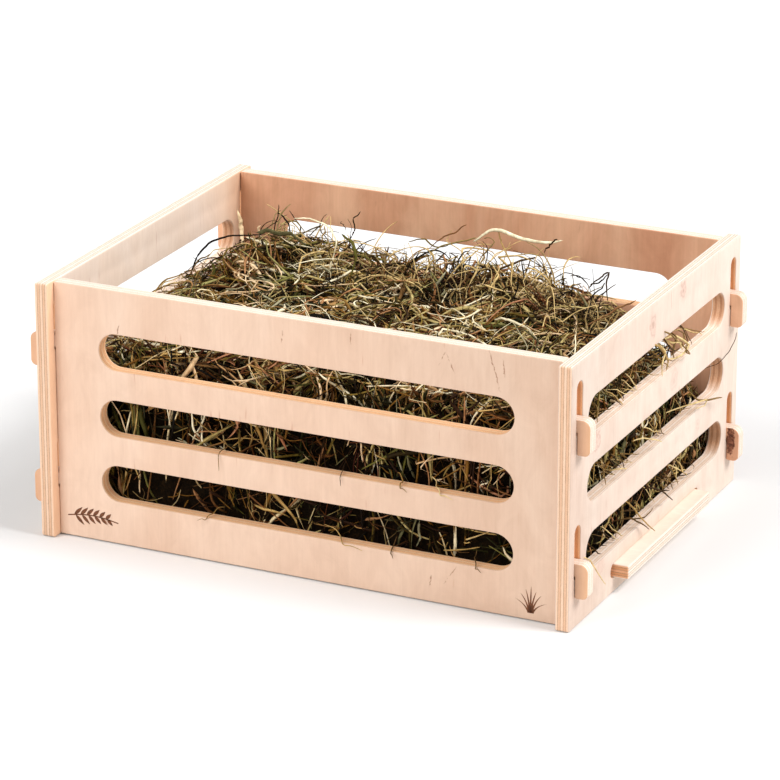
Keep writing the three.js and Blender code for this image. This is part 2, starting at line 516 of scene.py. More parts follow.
PLACES = {
    # where a point of each drawn panel, (u, v, depth), lies in the feeder
    "left_end_panel": lambda u, v, depth: (depth - OUTER_X, u, v),
    "right_end_panel": lambda u, v, depth: (INNER_X + depth, u, v),
    "front_panel": lambda u, v, depth: (u, -WALL_INNER_Y - depth, v),
    "back_panel": lambda u, v, depth: (u, WALL_OUTER_Y - depth, v),
    "floor_panel": lambda u, v, depth: (u, v, FLOOR_BOTTOM + depth),
}

END_KNOTS = [
    # centre, radius and strength
    ((OUTER_X, 38, 161), 6.0, 0.8),
    ((OUTER_X, -12, 154), 6.0, 0.7),
    ((OUTER_X, -100, 109), 6.5, 0.8),
    ((OUTER_X, 26, 106), 7.0, 0.35),
    ((OUTER_X, -88, 28), 7.0, 0.35),
    ((OUTER_X, 70, 62), 4.0, 0.3),
]
FRONT_MARKS = [
    # x, z, length and lean
    (127, 156, 28, -0.3),
    (133, 158, 12, -0.12),
    (93, 158, 10, 0.45),
    (99, 155, 14, -0.5),
    (-13, 156, 9, 0.05),
    (33, 162, 9, 0.0),
    (86, 14, 9, 0.2),
    (99, 20, 14, 0.7),
    (-126, 143, 9, 0.2),
    (-137, 13, 8, -0.4),
]
HOOK_BARK = ((183, WALL_INNER_Y, 33), (3.0, 6.0, 9.5))  # centre and half sizes

# Painted light and shade on each veneer: how its colour changes along an axis, as place, and share of red,
# green and blue
# Painted shade: the right end panel darker towards its front end.
END_PAINTED_SHADING = ("Y", [
    (-DEPTH_HALF, (0.84, 0.80, 0.78)),
    (-98, (0.89, 0.87, 0.86)),
    (-40, (0.97, 0.96, 0.955)),
    (DEPTH_HALF, (0.965, 0.965, 0.96)),
])
# Painted shade: the left end panel darker and more orange on the strip in front of the front panel and
# towards the back corner.
LEFT_PAINTED_SHADING = ("Y", [
    (-DEPTH_HALF, (0.96, 0.75, 0.58)),
    (-WALL_OUTER_Y, (0.96, 0.76, 0.60)),
    (-WALL_INNER_Y, (1.0, 1.0, 1.0)),
    (60, (1.0, 0.98, 0.96)),
    (100, (0.97, 0.89, 0.81)),
    (WALL_INNER_Y, (0.84, 0.68, 0.55)),
    (DEPTH_HALF, (0.92, 0.78, 0.66)),
])
# Painted shade on the hooks' front faces, darker and more orange.
HOOK_PAINTED_SHADE = (0.85, 0.68, 0.52)
# Painted shade: the front panel darker towards the right and on its hooks.
FRONT_PAINTED_SHADING = ("X", [
    (-HOOK_TIP_X, HOOK_PAINTED_SHADE),
    (-OUTER_X - 1, (0.85, 0.76, 0.70)),
    (-INNER_X, (0.96, 0.96, 0.96)),
    (0, (0.91, 0.90, 0.89)),
    (INNER_X, (0.80, 0.78, 0.76)),
    (OUTER_X + 1, (0.78, 0.68, 0.60)),
    (HOOK_TIP_X, HOOK_PAINTED_SHADE),
])
# Painted light and shade: the back panel's inside lighter at the left and darker at the right.
BACK_PAINTED_SHADING = ("X", [
    (-HOOK_TIP_X, (1.04, 1.06, 1.05)),
    (-INNER_X, (1.07, 1.12, 1.12)),
    (-125, (1.03, 1.03, 1.02)),
    (0, (0.97, 0.95, 0.93)),
    (HOOK_TIP_X, (0.93, 0.87, 0.84)),
])


def build_panels():
    # In each birch_edge the second colour, for cuts that face front or back, is painted shade.
    edge = [
        birch_edge("ply_edge_pale", (240, 230, 219), (235, 202, 175), 1.7),
        birch_edge("ply_edge_dark", (235, 218, 202), (222, 182, 151), 4.1),
        glue_line("glue_line", (180, 136, 106), (134, 94, 68)),
        birch_edge("ply_cut_pale", (255, 214, 170), (246, 200, 156), 2.9),
        birch_edge("ply_cut_dark", (252, 198, 150), (222, 166, 120), 6.3),
        birch_edge("ply_slot_pale", (244, 229, 216), (216, 169, 134), 3.3),
        birch_edge("ply_slot_dark", (239, 217, 198), (192, 142, 107), 5.5),
        glue_line("glue_line_faint", (226, 180, 144), (198, 150, 116)),
    ]
    wall_edge = list(edge)
    wall_edge[GLUE - 1] = edge[FAINT_GLUE - 1]
    floor_edge = list(edge)
    floor_edge[PALE - 1] = birch_edge("ply_tongue_pale", (240, 230, 219), (242, 189, 149), 2.3)
    floor_edge[DARK - 1] = birch_edge("ply_tongue_dark", (235, 218, 202), (228, 170, 126), 3.8)
    edges = {"front_panel": wall_edge, "back_panel": wall_edge, "floor_panel": floor_edge}
    # The panels' veneers have tones of their own and also painted light and shade: the end panels paler, the
    # back's inside darker and more orange.
    right = birch_face(
        "birch_right_end", (237, 221, 207), (231, 209, 193),
        seed=0.9, knots=END_KNOTS, coarse=1.4, painted_shading=END_PAINTED_SHADING,
    )
    left = birch_face("birch_left_end", (253, 236, 222), (249, 227, 208), seed=2.6, painted_shading=LEFT_PAINTED_SHADING)
    front = birch_face(
        "birch_front", (240, 210, 187), (234, 200, 175),
        seed=5.3, marks=FRONT_MARKS, coarse=1.25, painted_shading=FRONT_PAINTED_SHADING,
    )
    back = birch_face(
        "birch_back", (250, 206, 172), (228, 173, 139),
        seed=7.7, bark=HOOK_BARK, figure=1.3, coarse=1.9, painted_shading=BACK_PAINTED_SHADING,
    )
    floor = birch_face("birch_floor", (246, 232, 217), (240, 221, 202), grain="X", seed=9.2)

    end_outline, end_holes = end_panel_loops()
    wall_outline, wall_holes = wall_panel_loops()
    floor_outline, floor_holes = floor_loops()
    # The end panels' feeding slots take the slot set, with painted shade at their ends; their mortises are
    # browned.
    end_cuts = {0: SHADED_SLOTS, 1: SHADED_SLOTS, 2: SHADED_SLOTS, **{number: BROWNED for number in range(3, 8)}}
    wall_cuts = {0: BROWNED, 1: BROWNED, 2: BROWNED, BEHIND_MORTISES: BROWNED}
    plans = [
        # name, loops, cuts, face and CAD node
        ("plywood_left_end", end_outline, end_holes, end_cuts, left, "left_end_panel"),
        ("plywood_right_end", end_outline, end_holes, end_cuts, right, "right_end_panel"),
        ("plywood_front", wall_outline, wall_holes, wall_cuts, front, "front_panel"),
        ("plywood_back", wall_outline, wall_holes, wall_cuts, back, "back_panel"),
        ("plywood_floor", floor_outline, floor_holes, {}, floor, "floor_panel"),
    ]
    bodies = {"front_panel": "front", "back_panel": "back"}
    for name, outline, holes, cuts, face, node in plans:
        piece = panel_piece(name, outline, holes, cuts, PLACES[node], [face, *edges.get(node, edge)])
        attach(piece, bodies.get(node, "frame"))
        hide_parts(node)


# ---- Burned trims on the front panel ----

MARK_PROUD = 0.05
MARK_DEPTH = 0.3
SPRIG_X, SPRIG_Z = -165, 14  # the foot of the lying sprig's stem
SPRIG_LENGTH, SPRIG_BOW, SPRIG_WIDTH, SPRIG_STEPS = 36, 2.2, 0.8, 25
LEAF_PAIRS, LEAF_STEPS = 6, 3  # pairs of leaves, and the stem's steps from one to the next
LEAF_ANGLE, LEAF_LENGTH, LEAF_SHRINK, LEAF_WIDTH = 0.78, 8.6, 0.6, 2.3
TUFT_X, TUFT_Z = 152, 5  # the middle of the grass tuft's foot
TUFT_SPACING, TUFT_BLADE_WIDTH = 0.55, 1.5
OUTLINE_STEPS = 13  # points along each side of a leaf or blade
# Lean and height of each blade
TUFT_BLADES = [(-8.5, 9.5), (-5.6, 13.0), (-2.7, 15.5), (0.3, 17.5), (3.1, 15.0), (6.0, 13.5), (8.8, 9.0)]


def burned_mark(name, outlines, material):
    """Flat burned shapes, each a closed outline (x, z), let into the front panel's face."""
    face = -WALL_OUTER_Y
    verts, faces = [], []
    for outline in outlines:
        start, count = len(verts), len(outline)
        verts += [(x, face - MARK_PROUD, z) for x, z in outline]
        verts += [(x, face + MARK_DEPTH, z) for x, z in outline]
        faces.append(tuple(range(start, start + count)))
        faces.append(tuple(reversed(range(start + count, start + 2 * count))))
        for i in range(count):
            j = (i + 1) % count
            faces.append((start + i, start + count + i, start + count + j, start + j))
    piece = add_object(name, solid_mesh(name, verts, faces, [material]))
    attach(piece, "front")


def leaf(x, z, angle, length, width):
    """A pointed leaf that starts at (x, z)."""
    t = np.linspace(0, 1, OUTLINE_STEPS)
    swell = width / 2 * np.sin(math.pi * t**0.8)
    rim = list(zip(length * t, swell))
    rim += [(a, -w) for a, w in rim[-2:0:-1]]
    c, s = math.cos(angle), math.sin(angle)
    return [(x + c * a - s * b, z + s * a + c * b) for a, b in rim]


def ribbon(points, width):
    """A line of even width through the points."""
    p = np.array(points, float)
    along = np.gradient(p, axis=0)
    along /= np.linalg.norm(along, axis=1)[:, None]
    side = np.stack([-along[:, 1], along[:, 0]], 1) * width / 2
    return [tuple(q) for q in p + side] + [tuple(q) for q in (p - side)[::-1]]


def blade(x, z, lean, height, width):
    """A grass blade that rises from (x, z) and bends over towards its tip."""
    t = np.linspace(0, 1, OUTLINE_STEPS)
    across = x + lean * t**1.7
    up = z + height * (t - 0.16 * abs(lean) / height * t**3)
    half = width / 2 * (1 - t) ** 0.6 * (0.55 + 0.45 * np.minimum(4 * t, 1))
    right_side = [(a + h, b) for a, b, h in zip(across, up, half)]
    left_side = [(a - h, b) for a, b, h in zip(across, up, half)]
    return right_side + left_side[-2::-1]


def build_marks():
    """Plain burned trims: a lying sprig at the left and a tuft of grass at the right."""
    burned = burned_wood()
    along = np.linspace(0, 1, SPRIG_STEPS)
    stem = [(SPRIG_X + SPRIG_LENGTH * t, SPRIG_Z + SPRIG_BOW * math.sin(math.pi * t)) for t in along]
    sprig = [ribbon(stem, SPRIG_WIDTH)]
    for i in range(LEAF_PAIRS):
        x, z = stem[LEAF_STEPS * (i + 1)]
        length = LEAF_LENGTH - LEAF_SHRINK * i
        sprig.append(leaf(x, z, LEAF_ANGLE, length, LEAF_WIDTH))
        sprig.append(leaf(x + 1, z, -LEAF_ANGLE, length, LEAF_WIDTH))
    burned_mark("burned_sprig_lying", sprig, burned)

    tuft = []
    for i, (lean, height) in enumerate(TUFT_BLADES):
        x = TUFT_X + TUFT_SPACING * (i - len(TUFT_BLADES) // 2)
        tuft.append(blade(x, TUFT_Z, lean, height, TUFT_BLADE_WIDTH))
    burned_mark("burned_tuft", tuft, burned)


# ---- Hay ----

HAY_MARGIN = 2.1  # from the strands' centre lines to the walls
HAY_X = INNER_X - HAY_MARGIN
HAY_Y = WALL_INNER_Y - HAY_MARGIN
HAY_LIMIT = np.array((INNER_X - 0.4, WALL_INNER_Y - 0.4))  # which even the strands' tips don't pass
HAY_FLOOR = FLOOR_TOP + 0.6
HAY_LEVEL = 122
HAY_SWELLS = [
    # centre x and y, reach in x and y, and height, or how far the hay falls away there
    (-126, 62, 30, 46, 24),
    (32, 88, 92, 42, 8),
    (30, -40, 120, 70, 9),
    (-172, 20, 30, 150, -15),
    (-160, 0, 28, 50, 7),
    (-172, 110, 40, 46, -14),
    (176, 116, 70, 62, -46),
    (178, 114, 38, 34, -24),
]
TOP, FRONT, RIGHT, LEFT, BACK = range(5)  # the hay's sides, and the share of its strands that lie at each
SIDE_SHARES = (0.46, 0.20, 0.17, 0.07, 0.10)
SHELL_DEPTH = (1.5, 5.5)  # shape and scale of the spread of the strands' depths
SHELL_RISE = 5  # how far above the mean surface the shell starts
# Strands of a tuft: how many, and how far they part in place, yaw and pitch
TUFT_SIZE, TUFT_REACH, TUFT_FAN, TUFT_TILT = 6, 6.0, 0.6, 0.3
BENDS = 3  # sharp bends that a strand may have
TIP_REACH = 1.2  # how far a strand's pointed ends reach, in widths
SOFT_WALL = 2.5  # unevenness of the hay's flat sides
ROOF_GAP = 2  # from the hay to the panels' upper edges
HAY_SEED, WISP_SEED = 20, 7

# Numbers of strands
STEMS, LOOSE, BLADES, FINES, CURLS, CREST = 5000, 320, 1500, 700, 150, 640

# How strands grow: typical and greatest length, points along each, curl, the chance of each sharp bend,
# and how far they may stand above the hay
STEM_HABIT = (48, 120, 14, 0.10, 0.34, 6)
LOOSE_HABIT = (30, 70, 12, 0.12, 0.4, 15)
BLADE_HABIT = (46, 110, 14, 0.11, 0.22, 5)
FINE_HABIT = (34, 80, 16, 0.26, 0.3, 8)
CURL_HABIT = (26, 60, 16, 0.3, 0.3, 16)
CREST_HABIT = (29, 64, 14, 0.10, 0.75, 24)

# Ranges of x and y that strands spring from
WHOLE_TOP = ((-HAY_X + 20, HAY_X - 30), (-HAY_Y + 10, HAY_Y - 4))
BACK_HUMP = ((-125, 128), (52, 112))

# Widths: typical, least and greatest, or least and greatest
STEM_WIDTH = (1.16, 0.5, 2.2)
LOOSE_WIDTH = (0.85, 0.5, 1.4)
CREST_WIDTH = (0.9, 0.55, 1.5)
BLADE_WIDTH, BLADE_THICKNESS, BLADE_TWIST = (1.6, 3.4), 0.4, 2.5
FINE_WIDTH, FINE_THICKNESS = (0.45, 0.7), 0.45

# Tone of a strand, from dark to light: its random part and base, and the painted shade that its depth and
# the front take off
TONE_SPREAD, TONE_BASE, SHADE_PER_MM, FRONT_SHADE = 1.75, -0.18, 0.054, 0.1
FRONT_BAND = 14  # reach of the shaded front


def hay_top(x, y):
    """Height of the hay: lumpy, with a hump at the back left, and low at the left end and back right."""
    z = HAY_LEVEL + 2.5 * np.sin(x / 17 + 1.1) * np.cos(y / 15)
    z = z + 2 * np.sin((x + y) / 9) * np.cos((x - 2 * y) / 23)
    for centre_x, centre_y, reach_x, reach_y, height in HAY_SWELLS:
        z = z + height * np.exp(-(((x - centre_x) / reach_x) ** 2) - ((y - centre_y) / reach_y) ** 2)
    return z


def wander(rng, count, steps, amount, stiffness=0.72):
    """Angles that change smoothly along each strand."""
    push = rng.normal(size=(count, steps)) * amount[:, None]
    for k in range(1, steps):
        push[:, k] += stiffness * push[:, k - 1]
    return np.cumsum(push, axis=1)


def tuft_leaders(count):
    """The number of the first strand of each strand's tuft."""
    return np.arange(count) // TUFT_SIZE * TUFT_SIZE


def tufted(rng, values, spread):
    """Gives each strand the value of its tuft's first one, give or take the spread."""
    return values[tuft_leaders(len(values))] + rng.normal(0, spread, values.shape)


def strand_paths(rng, start, yaw, pitch, length, steps, curl, kinked, droop=0.0, centred=True):
    """Centre lines from each start, heading by yaw and pitch. curl bends them smoothly, and each of their
    sharp bends is there with the chance kinked. droop turns them down along their length."""
    count = len(start)
    start = tufted(rng, start, TUFT_REACH)
    yaw = tufted(rng, yaw, TUFT_FAN)
    pitch = tufted(rng, pitch, TUFT_TILT)
    bends = curl * rng.lognormal(0, 0.5, count)
    leader = tuft_leaders(count)
    shared = wander(rng, count, steps, bends)[leader]
    turn = 0.75 * shared + 0.6 * wander(rng, count, steps, bends)
    lift = 0.3 * wander(rng, count, steps, bends)[leader] + 0.3 * wander(rng, count, steps, bends)
    for _ in range(BENDS):
        after = np.arange(steps)[None, :] >= rng.integers(2, steps - 2, count)[:, None]
        sharp = (rng.random(count) < kinked) * rng.uniform(0.3, 1.4, count) * rng.choice([-1, 1], count)
        turn += sharp[:, None] * after
        lift += (0.5 * sharp * rng.uniform(-1, 1, count))[:, None] * after
    lift -= droop * np.linspace(0, 1, steps)[None, :]
    heading = yaw[:, None] + turn
    slope = pitch[:, None] + lift
    move = np.stack([np.cos(heading) * np.cos(slope), np.sin(heading) * np.cos(slope), np.sin(slope)], 2)
    path = np.cumsum(move * (length / (steps - 1))[:, None, None], axis=1)
    path -= path.mean(axis=1, keepdims=True) if centred else path[:, :1]
    return start[:, None, :] + path


def keep_inside(path, rng, above):
    """Slides strands inside the walls and under the hay's surface, plus what may stand above it."""
    for axis, limit in ((0, HAY_X), (1, HAY_Y)):
        over = np.maximum(path[:, :, axis].max(1) - limit, 0)
        under = np.maximum(-limit - path[:, :, axis].min(1), 0)
        path[:, :, axis] += (under - over)[:, None]
        soft = rng.uniform(0, SOFT_WALL, len(path))[:, None]
        path[:, :, axis] = np.clip(path[:, :, axis], soft - limit, limit - soft)
    roof = np.minimum(hay_top(path[:, :, 0], path[:, :, 1]) + above, HEIGHT - ROOF_GAP)
    path[:, :, 2] -= np.maximum((path[:, :, 2] - roof).max(1), 0)[:, None]
    path[:, :, 2] = np.maximum(path[:, :, 2], HAY_FLOOR + rng.uniform(0, 1, len(path))[:, None])
    return path


def strand_shape(path, width, thickness, rng, sides, twist=0.0):
    """Vertices, quads and end triangles of tapered strands with pointed closed ends."""
    count, steps, _ = path.shape
    along = np.gradient(path, axis=1)
    length = np.linalg.norm(along, axis=2, keepdims=True)
    along = np.where(length > 1e-6, along / np.maximum(length, 1e-6), (1.0, 0.0, 0.0))
    up = np.where(np.abs(along[:, :, 2:]) > 0.9, X_AXIS, UP)
    side = np.cross(along, up)
    side /= np.linalg.norm(side, axis=2, keepdims=True)
    rise = np.cross(side, along)
    t = np.linspace(0, 1, steps)
    taper = (0.45 + 0.55 * np.sin(math.pi * np.clip(t * 0.85 + 0.12, 0, 1)))[None, :]
    roll = rng.uniform(0, math.pi, count)[:, None] + twist * rng.normal(size=count)[:, None] * t[None, :]
    wide = (width[:, None] * taper)[:, :, None]
    thin = (thickness[:, None] * taper)[:, :, None]
    a_axis = side * np.cos(roll)[:, :, None] + rise * np.sin(roll)[:, :, None]
    b_axis = rise * np.cos(roll)[:, :, None] - side * np.sin(roll)[:, :, None]
    angles = 2 * math.pi * np.arange(sides) / sides
    rings = [path + a_axis * wide / 2 * math.cos(a) + b_axis * thin / 2 * math.sin(a) for a in angles]
    rings = np.stack(rings, 2)
    reach = width[:, None] * TIP_REACH
    tips = np.stack([path[:, 0] - along[:, 0] * reach, path[:, -1] + along[:, -1] * reach], 1)
    verts = np.concatenate([rings.reshape(count, steps * sides, 3), tips], axis=1).reshape(-1, 3)

    per = steps * sides + 2
    ring = np.arange(steps * sides).reshape(steps, sides)
    beside = np.roll(ring, -1, 1)
    quads = np.stack([ring[:-1], beside[:-1], beside[1:], ring[1:]], 2).reshape(-1, 4)
    ends = np.concatenate([
        np.stack([beside[0], ring[0], np.full(sides, per - 2)], 1),
        np.stack([ring[-1], beside[-1], np.full(sides, per - 1)], 1),
    ])
    base = (np.arange(count) * per)[:, None, None]
    middle = path[:, steps // 2]
    depth = np.minimum(hay_top(middle[:, 0], middle[:, 1]) - middle[:, 2], HAY_X - np.abs(middle[:, 0]))
    depth = np.minimum(depth, HAY_Y - np.abs(middle[:, 1]))
    near_front = middle[:, 1] < -HAY_Y + FRONT_BAND
    # Painted shade: strands darker the deeper they lie and near the front wall.
    tone = rng.random(count) * TONE_SPREAD + TONE_BASE - SHADE_PER_MM * np.maximum(depth, 0)
    tone = np.repeat(np.clip(tone - FRONT_SHADE * near_front, 0, 1), per)
    return verts, (quads[None] + base).reshape(-1, 4), (ends[None] + base).reshape(-1, 3), tone


def strand_piece(name, shapes, material, body):
    """One mesh of all the given strands, with a tone for each strand."""
    verts = np.concatenate([shape[0] for shape in shapes])
    if body == "filling":
        verts[:, :2] = np.clip(verts[:, :2], -HAY_LIMIT, HAY_LIMIT)
    faces, offset = [], 0
    for shape_verts, quads, ends, _ in shapes:
        faces += (quads + offset).tolist() + (ends + offset).tolist()
        offset += len(shape_verts)
    mesh = bpy.data.meshes.new(name)
    mesh.from_pydata((verts * MM).tolist(), [], faces)
    mesh.polygons.foreach_set("use_smooth", [True] * len(faces))
    tone = np.concatenate([shape[3] for shape in shapes])
    mesh.attributes.new("tone", "FLOAT", "POINT").data.foreach_set("value", tone)
    mesh.validate()
    mesh.materials.append(material)
    piece = add_object(name, mesh)
    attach(piece, body)


def hay_material(name, dark, middle, light):
    """Dried grass: a tone for each strand, mottled along its length, with a faint ribbed gloss."""
    s = Shader(name)
    tone = s.add("Attribute", attribute_name="tone").outputs["Fac"]
    colour = s.ramp(tone, [(0.0, rgb(*dark)), (0.5, rgb(*middle)), (1.0, rgb(*light))])
    mottle = s.noise(s.place(), 170, 3, 0.65)
    colour = s.tint(colour, mottle, [(0.3, (0.56, 0.50, 0.42)), (0.66, (1.18, 1.17, 1.15))])
    ribs = s.noise(s.place(), 2600, 1)
    rough = s.spread(mottle, 0.3, 0.7, 0.56, 0.81)
    return s.finish(colour, rough, s.bump(ribs, 0.25, 0.1 * MM), 0.13)


FAMILIES = [
    # name, share of stems, share of blades, dark, middle and light tones
    ("olive", 0.23, 0.28, (44, 32, 4), (124, 102, 38), (196, 178, 120)),
    ("green", 0.07, 0.14, (36, 36, 8), (98, 94, 38), (168, 162, 102)),
    ("grey_green", 0.05, 0.12, (50, 48, 28), (114, 110, 74), (188, 184, 152)),
    ("straw", 0.24, 0.16, (128, 90, 34), (222, 190, 122), (255, 246, 214)),
    ("tan", 0.15, 0.11, (88, 52, 18), (186, 144, 90), (248, 220, 180)),
    ("brown", 0.14, 0.11, (44, 22, 4), (114, 70, 30), (180, 132, 90)),
    ("rust", 0.04, 0.03, (60, 24, 8), (128, 74, 42), (182, 128, 94)),
    ("dark", 0.08, 0.05, (12, 6, 1), (32, 19, 6), (64, 44, 20)),
]


def shell_points(rng, count):
    """Places in the outer layer of the hay, with the yaw and pitch that strands there tend to lie at."""
    side = rng.choice(5, count, p=SIDE_SHARES)
    x = rng.uniform(-HAY_X, HAY_X, count)
    y = rng.uniform(-HAY_Y, HAY_Y, count)
    depth = rng.gamma(*SHELL_DEPTH, count)
    yaw = rng.uniform(0, 2 * math.pi, count)
    pitch = rng.normal(0, 0.25, count)
    y = np.where(side == FRONT, -HAY_Y + depth, y)
    y = np.where(side == BACK, HAY_Y - depth, y)
    x = np.where(side == RIGHT, HAY_X - depth, x)
    x = np.where(side == LEFT, -HAY_X + depth, x)
    top = hay_top(x, y)
    flank_z = HAY_FLOOR + (top - HAY_FLOOR) * rng.random(count) ** 1.1
    z = np.where(side == TOP, top + SHELL_RISE - depth, flank_z)
    flank = side != TOP
    flank_yaw = np.where((side == FRONT) | (side == BACK), 0.0, math.pi / 2) + rng.normal(0, 0.5, count)
    yaw = np.where(flank, flank_yaw + math.pi * rng.integers(0, 2, count), yaw)
    pitch = np.where(flank, rng.uniform(-1.4, 1.4, count), pitch)
    return np.stack([x, y, np.maximum(z, HAY_FLOOR + 1)], 1), yaw, pitch


def lying(rng, count, typical, longest, steps, curl, kinked, above):
    """Strands that lie in the outer layer."""
    start, yaw, pitch = shell_points(rng, count)
    length = np.clip(rng.lognormal(math.log(typical), 0.42, count), typical / 3, longest)
    return keep_inside(strand_paths(rng, start, yaw, pitch, length, steps, curl, kinked), rng, above)


def springing(rng, start, typical, longest, steps, curl, kinked, above):
    """Strands that spring from the top at each start, bend over and end in the air."""
    count = len(start)
    yaw = rng.uniform(0, 2 * math.pi, count)
    pitch = rng.uniform(0.1, 1.2, count)
    length = np.clip(rng.lognormal(math.log(typical), 0.4, count), typical / 3, longest)
    path = strand_paths(rng, start, yaw, pitch, length, steps, curl, kinked, droop=1.2, centred=False)
    return keep_inside(path, rng, above)


def top_points(rng, count, x_range, y_range):
    """Places just under the hay's surface."""
    x = rng.uniform(*x_range, count)
    y = rng.uniform(*y_range, count)
    return np.stack([x, y, hay_top(x, y) - 3], 1)


def widths(rng, count, typical, least, most):
    return np.clip(rng.lognormal(math.log(typical), 0.32, count), least, most)


def build_hay():
    rng = np.random.default_rng(HAY_SEED)
    for name, stem_share, blade_share, *tones in FAMILIES:
        material = hay_material("hay_" + name, *tones)
        count = int(STEMS * stem_share)
        path = lying(rng, count, *STEM_HABIT)
        width = widths(rng, count, *STEM_WIDTH)
        stem = strand_shape(path, width, width * rng.uniform(0.55, 0.95, count), rng, 4)

        count = int(LOOSE * stem_share)
        path = springing(rng, top_points(rng, count, *WHOLE_TOP), *LOOSE_HABIT)
        width = widths(rng, count, *LOOSE_WIDTH)
        loose = strand_shape(path, width, width * 0.8, rng, 4)

        count = int(BLADES * blade_share)
        path = lying(rng, count, *BLADE_HABIT)
        width = rng.uniform(*BLADE_WIDTH, count)
        blade = strand_shape(path, width, np.full(count, BLADE_THICKNESS), rng, 4, BLADE_TWIST)
        strand_piece("hay_" + name, [stem, loose, blade], material, "filling")

    material = hay_material("hay_fines", (34, 24, 10), (96, 72, 38), (216, 188, 128))
    fine = fine_shape(rng, lying(rng, FINES, *FINE_HABIT))
    curly = fine_shape(rng, springing(rng, top_points(rng, CURLS, *WHOLE_TOP), *CURL_HABIT))
    strand_piece("hay_fines", [fine, curly], material, "filling")

    material = hay_material("hay_crest", (20, 12, 6), (88, 66, 34), (226, 198, 138))
    path = springing(rng, top_points(rng, CREST, *BACK_HUMP), *CREST_HABIT)
    width = widths(rng, CREST, *CREST_WIDTH)
    strand_piece("hay_crest", [strand_shape(path, width, width * 0.8, rng, 4)], material, "filling")
    build_stray_strands(rng)
    build_core(rng)


def fine_shape(rng, path):
    """Hair-thin fibres along the paths."""
    count = len(path)
    return strand_shape(path, rng.uniform(*FINE_WIDTH, count), np.full(count, FINE_THICKNESS), rng, 3)


# Single strands that stand out of the mass, by family: width, and points (x, y, z) along each
STRAY_STRANDS = {
    "brown": [
        (1.2, [(10, 86, 166), (3, 86, 160), (-5, 85, 156), (-13, 83, 149)]),
        (2.4, [(146, 40, 148), (138, 40, 144), (129, 39, 137), (118, 37, 130)]),
    ],
    "dark": [
        (1.3, [(76, 82, 166.5), (71, 83, 162), (67, 84, 157)]),
        (1.1, [(-116, 70, 166), (-117, 70, 159), (-119, 69, 150), (-116, 67, 138)]),
        (1.2, [(-62, 80, 166), (-67, 80, 161), (-65, 79, 154), (-68, 77, 146), (-62, 75, 138)]),
        (1.4, [(-165, 40, 124), (-161, 40, 134), (-152, 40, 145), (-138, 41, 151), (-115, 42, 155)]),
        (1.3, [(100, 80, 139), (107, 80, 146), (113, 80, 150.5), (112, 79, 142), (113, 78, 132)]),
        (1.0, [(100, 82, 140), (106, 82, 142), (113, 81, 150)]),
    ],
    "green": [
        (2.2, [(-64, 60, 156), (-57, 59, 152), (-54, 57, 143), (-56, 54, 132)]),
    ],
    "grey_green": [
        (3.4, [(-123, 55, 151), (-116, 54, 154.5), (-108, 54, 153), (-99, 53, 154.5), (-90, 52, 150)]),
    ],
    "olive": [
        (1.3, [(18, 85, 158.5), (8, 84, 155), (-4, 82, 151), (-12, 80, 146)]),
        (1.1, [(-28, 84, 150), (-18, 84, 153), (-9, 83, 149), (0, 82, 152)]),
    ],
    "rust": [
        (1.2, [(-162, 8, 113), (-154, 7, 118), (-146, 6, 114)]),
    ],
    "straw": [
        (2.3, [(18, 85, 157), (29, 85, 165), (36, 85, 166), (52, 84, 163), (69, 83, 163), (78, 82, 165.5)]),
        (1.3, [(34, 85, 165.5), (37, 84, 158), (44, 82, 148), (47, 80, 140)]),
        (1.5, [(-104, 70, 160), (-92, 70, 160.5), (-79, 69, 157), (-73, 67, 148), (-76, 64, 130)]),
        (1.4, [(-36, -10, 140), (-30, -9, 138.5), (-25, -10, 132), (-26, -12, 125)]),
        (1.6, [(66, 10, 134), (74, 9, 136), (89, 8, 132), (99, 7, 123)]),
        (1.2, [(-150, 20, 127), (-147, 20, 119), (-150, 18, 110)]),
        (1.3, [(-158, 34, 118), (-150, 33, 121), (-143, 31, 116)]),
        (1.5, [(-20, -50, 128), (-8, -54, 134), (8, -56, 133), (18, -58, 126)]),
    ],
    "tan": [
        (3.4, [(-141, 62, 159), (-140, 62, 152), (-139, 61, 145), (-136, 60, 132)]),
        (2.2, [(-128, 64, 152), (-127, 64, 145), (-125, 63, 136)]),
        (1.3, [(-156, -8, 122), (-149, -8, 118), (-141, -9, 120)]),
        (1.6, [(40, -60, 131), (52, -62, 136), (66, -66, 135), (78, -70, 128), (84, -72, 121)]),
    ],
}


def build_stray_strands(rng):
    tones = {name: family_tones for name, _, _, *family_tones in FAMILIES}
    for family, strands in STRAY_STRANDS.items():
        name = "hay_stray_" + family
        path, width = bent_paths(rng, strands, 24, 0.25)
        shape = strand_shape(path, width, np.minimum(width * 0.75, 1.0), rng, 6)
        strand_piece(name, [shape], hay_material(name, *tones[family]), "filling")


def bent_paths(rng, strands, steps, wobble):
    """Centre lines and widths of strands given as (width, points)."""
    paths = np.array([bent_line(rng, points, steps, wobble) for _, points in strands])
    return paths, np.array([width for width, _ in strands])


def bent_line(rng, points, steps, wobble):
    """A line through the points with tight bends at them and small uneven wobbles, as dried stems have."""
    points = np.array(points, float)
    at = np.linspace(0, len(points) - 1, steps)
    straight = np.stack([np.interp(at, np.arange(len(points)), points[:, axis]) for axis in range(3)], 1)
    line = 0.6 * straight + 0.4 * smooth_line(points, steps)
    push = rng.normal(0, wobble, line.shape)
    push[1:-1] = (push[:-2] + push[1:-1] + push[2:]) / 2
    return line + push


CORE_COLUMNS, CORE_ROWS, CORE_LEVELS = 48, 34, 9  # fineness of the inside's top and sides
CORE_INSET = 12.0  # from the ends of the strands' space
CORE_DEPTH = 13  # below the hay's top
CORE_RIM_DROP = 14
FOOT_FLARE = 0.055  # how much wider it is at its foot


